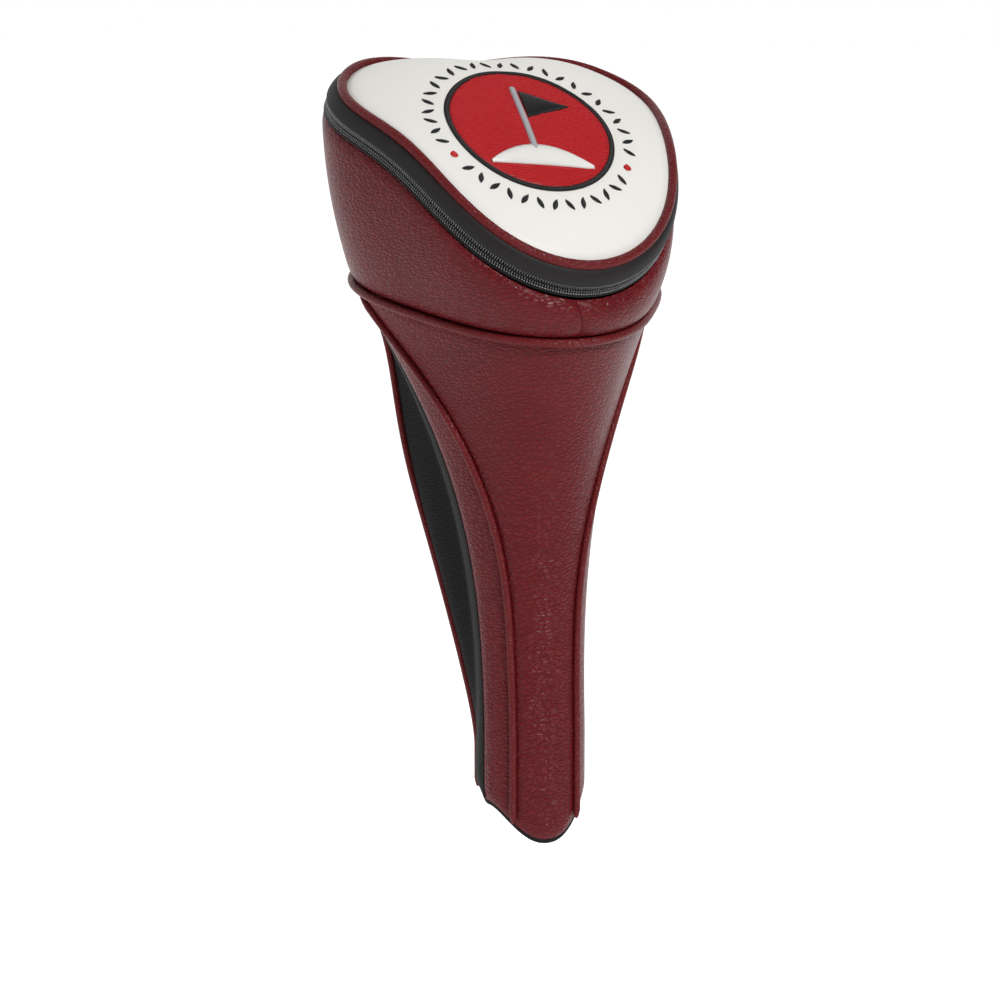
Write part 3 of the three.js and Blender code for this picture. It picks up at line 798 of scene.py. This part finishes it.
def even_angles(step, shift):
    """Angles along the zip at an even spacing in millimetres."""
    fine = np.linspace(-ZIP_END, ZIP_END, 4000)
    line = rim_at(fine, 5.9, -10.4)
    run = np.concatenate([[0], np.cumsum(np.linalg.norm(np.diff(line, axis=0), axis=1))])
    return np.interp(np.arange(shift, run[-1], step), run, fine)


def build_teeth():
    for name, rise, shift, body, stitch in (
        ("upper_zip_coil", UPPER_ROW, 0.0, "crown", 0.95),
        ("lower_zip_coil", LOWER_ROW, 0.5, "cover", -0.95),
    ):
        angle = even_angles(TOOTH_PITCH, shift * TOOTH_PITCH)
        along = unit(rim_at(angle + 0.002, 5.9, rise) - rim_at(angle - 0.002, 5.9, rise))
        up = np.broadcast_to(NORMAL, along.shape)
        out = unit(np.cross(along, up))
        centre = rim_at(angle, 5.85, rise)
        teeth = beads(name, centre, along, up, out, (0.8, 2.35, 1.25), NYLON, body)
        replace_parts(teeth, name)
        centre = rim_at(angle, 6.3, rise + stitch)
        beads(name + "_stitching", centre, up, along, out, (0.42, 0.78, 0.8), ZIP_THREAD_PAINTED_HIGHLIGHT, body)


def build_stops_and_hinge():
    for name, sign in (("zip_top_stop", 1), ("zip_bottom_stop", -1)):
        angle = np.full(1, sign * (ZIP_END + 1.4 * RAD))
        along = unit(rim_at(angle + 0.01, 5.9, -11.4) - rim_at(angle - 0.01, 5.9, -11.4))
        up = np.broadcast_to(NORMAL, along.shape)
        out = unit(np.cross(along, up))
        centre = rim_at(angle, 5.9, -11.5)
        obj = beads(name, centre, along, up, out, (1.7, 2.0, 1.5), STOP_METAL, "cover", 16, 10)
        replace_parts(obj, name)
    profile = rounded([(5.2, -8.3), (6.5, -8.4), (6.9, -11.0), (6.5, -13.9), (5.2, -13.8)], 2)
    span = (pi - HINGE_HALF, pi + HINGE_HALF)
    strip = rim_strip("hinge_strip", "hinge_strip", profile, *span, 50, KNIT, None)
    foot, head = (rim_at(np.array(pi), 6.2, rise) * MM for rise in (-12.6, -8.6))
    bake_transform(strip)


# ---------------------------------------------------------------- crown

def build_crown():
    around = (np.arange(260) / 260 * 2 * pi)[None, :]
    share = np.concatenate([np.linspace(0.02, 0.93, 40), np.linspace(0.945, 1.0, 10)])[:, None]

    def dome_sheet(name, inset, top, bottom, material, roll):
        reach = (crown_reach(around) - inset) * share
        across, ahead = reach * np.sin(around), reach * np.cos(around)
        from_edge = (crown_reach(around) - inset) * (1 - share)
        sink = edge_roll(from_edge, roll, 5.0)
        upper = dome_at(across, ahead, top - sink)
        lower = dome_at(across, ahead, bottom - sink * 0.6)
        obj = shell(name, upper, lower, material, "crown", wrap=True)
        close_centre(obj, upper.shape)
        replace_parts(obj, name)

    dome_sheet("crown_panel", -0.2, 0.25, -1.1, WHITE, 1.0)
    dome_sheet("crown_foam", 0.6, -1.6, -4.5, FOAM, 0.3)
    dome_sheet("crown_lining", 0.9, -5.0, -6.0, LINING, 0.3)

    angle = np.arange(420) / 420 * 2 * pi
    path = rim_at(angle, 2.1, -0.7)
    out = unit(rim_at(angle, 3.1, -0.7) - path)
    up = np.broadcast_to(NORMAL, out.shape)
    piping = cord_along("crown_piping", path, out, up, 2.05, 16, PIPING, "crown", wrap=True)
    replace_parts(piping, "crown_piping")

    band = [
        (2.6, -1.6), (4.3, -1.9), (5.6, -3.4), (6.5, -5.6),
        (6.95, -7.6), (6.6, -8.6), (5.4, -8.3), (4.0, -4.5),
    ]
    rim_strip("crown_band", "crown_band", rounded(band, 2), 0, 2 * pi, 300, NEOPRENE, "crown")


def close_centre(obj, shape):
    """Fills the small hole left in the middle of a dome sheet, above and below."""
    rows, columns = shape[:2]
    bm = bmesh.new()
    bm.from_mesh(obj.data)
    bm.verts.ensure_lookup_table()
    half = rows * columns
    inner = {i for i in range(columns)} | {half + i for i in range(columns)}
    walls = [face for face in bm.faces if all(v.index in inner for v in face.verts)]
    bmesh.ops.delete(bm, geom=walls, context="FACES_ONLY")
    for start in (0, half):
        bm.verts.ensure_lookup_table()
        bm.faces.new([bm.verts[start + i] for i in range(columns)])
    bmesh.ops.recalc_face_normals(bm, faces=bm.faces)
    bm.to_mesh(obj.data)
    bm.free()
    obj.data.polygons.foreach_set("use_smooth", [True] * len(obj.data.polygons))


# ---------------------------------------------------------------- emblem

def inside_flag(x, y):
    return 0.02 <= x <= 0.6 and 0.16 + (x - 0.02) * 0.42 <= y <= 0.66 - (x - 0.02) * 0.44


def inside_pole(x, y):
    return POLE_SIDES[0] <= x <= POLE_SIDES[1] and POLE_ENDS[0] <= y <= POLE_ENDS[1]


def mound_top(x):
    return MOUND_BROW + MOUND_RISE * (1 - (x / MOUND_REACH) ** 2)


def inside_mound(x, y):
    return abs(x) < MOUND_REACH and MOUND_FOOT <= y <= mound_top(x)


def fill_stitches(inside, pitch, length, slope, gap=0.12):
    """Rows of fill stitches inside a test on emblem units; slope turns the rows."""
    stitches = []
    reach = EMBLEM_RADIUS
    count = int(2 * reach / pitch)
    for row in range(count):
        v = -reach + (row + 0.5) * pitch
        start = -reach - (row % 3) * length / 3
        u = start
        while u < reach:
            ends = []
            for w in (u + gap, u + length - gap):
                x = w * cos(slope) - v * sin(slope)
                y = w * sin(slope) + v * cos(slope)
                ends.append((x, y))
            if all(inside(x / reach, y / reach) for x, y in ends):
                stitches.append([(x, EMBLEM_AHEAD - y) for x, y in ends])
            u += length
    return stitches


def bar_stitches(corners, pitch):
    """Satin stitches straight across a shape given as left and right edge points."""
    stitches = []
    for (left_a, right_a), (left_b, right_b) in zip(corners, corners[1:]):
        run = np.linalg.norm(np.subtract(left_b, left_a)) * EMBLEM_RADIUS
        for k in range(max(1, int(run / pitch))):
            t = k * pitch / run
            left = lerp(np.array(left_a), np.array(left_b), t)
            right = lerp(np.array(right_a), np.array(right_b), t)
            ends = [(x * EMBLEM_RADIUS, EMBLEM_AHEAD - y * EMBLEM_RADIUS) for x, y in (left, right)]
            stitches.append(ends)
    return stitches


def ring_stitches(inside, outside, pitch, slant):
    """Satin stitches across the ring between two radii."""
    count = int(2 * pi * outside / pitch)
    stitches = []
    for k in range(count):
        turn = 2 * pi * k / count
        ends = []
        for radius, angle in ((inside, turn), (outside, turn + slant)):
            ends.append((radius * sin(angle), EMBLEM_AHEAD + radius * cos(angle)))
        stitches.append(ends)
    return stitches


def leaf_stitches(turn, tilt, length, width, pitch):
    """Satin stitches that fill one small leaf on the wreath."""
    stitches = []
    centre = np.array([WREATH_RADIUS * sin(turn), EMBLEM_AHEAD + WREATH_RADIUS * cos(turn)])
    lean = turn + tilt
    spine = np.array([sin(lean), cos(lean)])
    side = np.array([spine[1], -spine[0]])
    count = int(length / pitch)
    for k in range(count):
        t = (k + 0.5) / count
        half = width / 2 * sin(pi * t) ** 0.7
        middle = centre + spine * (t - 0.5) * length
        stitches.append([tuple(middle - side * half), tuple(middle + side * half + spine * 0.25)])
    return stitches


def disc_stitches(turn, radius, pitch):
    """Satin stitches that fill a dot on the wreath."""
    centre = np.array([WREATH_RADIUS * sin(turn), EMBLEM_AHEAD + WREATH_RADIUS * cos(turn)])
    stitches = []
    for k in range(int(2 * radius / pitch)):
        v = -radius + (k + 0.5) * pitch
        half = (radius**2 - v**2) ** 0.5
        stitches.append([(centre[0] - half, centre[1] + v), (centre[0] + half, centre[1] + v)])
    return stitches


def build_emblem():
    turn = (np.arange(96) / 96 * 2 * pi)[None, :]
    share = np.linspace(0.03, 1, 16)[:, None]
    across = EMBLEM_RADIUS * share * np.sin(turn)
    ahead = EMBLEM_AHEAD + EMBLEM_RADIUS * share * np.cos(turn)
    upper = dome_at(across, ahead, 0.55)
    lower = dome_at(across, ahead, 0.1)
    patch = shell("emblem_patch", upper, lower, RED_GROUND, "crown", wrap=True)
    close_centre(patch, upper.shape)
    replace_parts(patch, "emblem_patch")

    def free(x, y):
        taken = inside_flag(x, y) or inside_pole(x, y) or inside_mound(x, y)
        return x * x + y * y < 0.985 and not taken

    thread("emblem_fill", fill_stitches(free, 0.52, 3.4, 0.35), 0.33, 0.6, 0.16, RED, "crown", 5, 4)
    rim = ring_stitches(EMBLEM_RADIUS - 0.4, EMBLEM_RADIUS + EMBLEM_RIM - 0.5, 0.4, 0.02)
    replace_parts(thread("emblem_rim", rim, 0.3, 0.65, 0.55, BLACK, "crown"), "emblem_rim")
    flag = bar_stitches([((0.02, 0.66), (0.02, 0.16)), ((0.6, 0.41), (0.6, 0.4))], 0.42)
    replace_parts(thread("emblem_flag", flag, 0.3, 0.75, 0.75, BLACK, "crown", 5, 9), "emblem_flag")
    pole = bar_stitches([[(x, y) for x in POLE_SIDES] for y in POLE_ENDS], 0.4)
    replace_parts(thread("emblem_pole", pole, 0.3, 0.75, 0.6, GREY, "crown"), "emblem_pole")
    mound_edges = [((x, MOUND_FOOT), (x, mound_top(x))) for x in np.linspace(-0.65, 0.65, 27)]
    mound = bar_stitches(mound_edges, 0.42)
    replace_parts(thread("emblem_mound", mound, 0.3, 0.75, 0.6, PALE, "crown", 5, 9), "emblem_mound")

    leaves = []
    for first, last, count in WREATH_ARCS:
        for k in range(count):
            turn_at = lerp(first, last, k / (count - 1)) * RAD + pi
            tilt = 0.45 if k % 2 else -0.45
            leaves += leaf_stitches(turn_at, tilt, 5.6, 2.3, 0.42)
    thread("emblem_wreath", leaves, 0.27, 0.35, 0.35, BLACK, "crown")
    dots = [pair for turn_at in DOT_ANGLES for pair in disc_stitches(turn_at, 1.7, 0.42)]
    thread("emblem_dots", dots, 0.27, 0.35, 0.4, RED, "crown")


# ---------------------------------------------------------------- hardware, light and camera

def dress_hardware():
    for name in ("zip_slider", "zip_pull"):
        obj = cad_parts[name]
        obj.data.materials.clear()
        obj.data.materials.append(SLIDER_METAL)


def studio_world():
    """A white backdrop beyond the cover and a dim room on the near side."""
    world = bpy.data.worlds.new("studio")
    world.use_nodes = True
    nodes, links = world.node_tree.nodes, world.node_tree.links
    place = nodes.new("ShaderNodeTexCoord")
    split = nodes.new("ShaderNodeSeparateXYZ")
    shade = nodes.new("ShaderNodeValToRGB")
    stops = shade.color_ramp.elements
    for stop, (depth, level) in zip(stops, SKY):
        stop.position = depth
        stop.color = (level, level, level, 1)
    links.new(place.outputs["Generated"], split.inputs["Vector"])
    links.new(split.outputs["Y"], shade.inputs["Fac"])
    background = nodes["Background"]
    links.new(shade.outputs["Color"], background.inputs["Color"])
    bpy.context.scene.world = world


def build_stage():
    bpy.ops.mesh.primitive_plane_add(size=60, location=(0, 0, FLOOR_HEIGHT))
    floor = bpy.context.object
    floor.name = "floor"
    paper = new_material("floor_paper", (0.85, 0.85, 0.85), 0.9, Specular_IOR_Level=0.1)
    shader = paper.node_tree.nodes["Principled BSDF"]
    shader.inputs["Emission Color"].default_value = (1, 1, 1, 1)
    split = add_node(paper, "ShaderNodeSeparateXYZ")
    wire(paper, scaled_position(paper, (1, 1, 1)), split.inputs["Vector"])
    glow = add_node(paper, "ShaderNodeMapRange")
    glow.inputs["From Min"].default_value = -1.2
    glow.inputs["From Max"].default_value = -0.15
    glow.inputs["To Min"].default_value = 0.05
    glow.inputs["To Max"].default_value = FLOOR_GLOW
    wire(paper, split.outputs["Y"], glow.inputs["Value"])
    wire(paper, glow.outputs["Result"], shader.inputs["Emission Strength"])
    floor.data.materials.append(paper)
    studio_world()
    for name, place, size, power in LIGHTS:
        light = bpy.data.lights.new(name, "AREA")
        light.size = size
        light.energy = power
        obj = bpy.data.objects.new(name, light)
        obj.location = place
        toward = Vector(VIEW_TARGET) - Vector(place)
        obj.rotation_euler = toward.to_track_quat("-Z", "Y").to_euler()
        bpy.context.collection.objects.link(obj)


def build_camera():
    azimuth, elevation = radians(VIEW_AZIMUTH), radians(VIEW_ELEVATION)
    back = Vector((sin(azimuth) * cos(elevation), -cos(azimuth) * cos(elevation), sin(elevation)))
    right = Vector((cos(azimuth), sin(azimuth), 0))
    up = back.cross(right)
    camera = bpy.data.objects.new("camera", bpy.data.cameras.new("camera"))
    turn = Matrix((right, up, back)).transposed()
    place = Vector(VIEW_TARGET) + back * VIEW_DISTANCE
    camera.matrix_world = Matrix.Translation(place) @ turn.to_4x4()
    camera.data.lens = LENS
    camera.data.clip_end = 50
    bpy.context.collection.objects.link(camera)
    scene = bpy.context.scene
    scene.camera = camera
    scene.view_settings.view_transform = "Standard"


build_camera()
build_stage()
build_neck()
build_neck_piping()
build_top_stitching()
build_neck_inside()
build_seam_piping()
build_wall()
build_tapes()
build_teeth()
build_stops_and_hinge()
build_crown()
build_emblem()
dress_hardware()
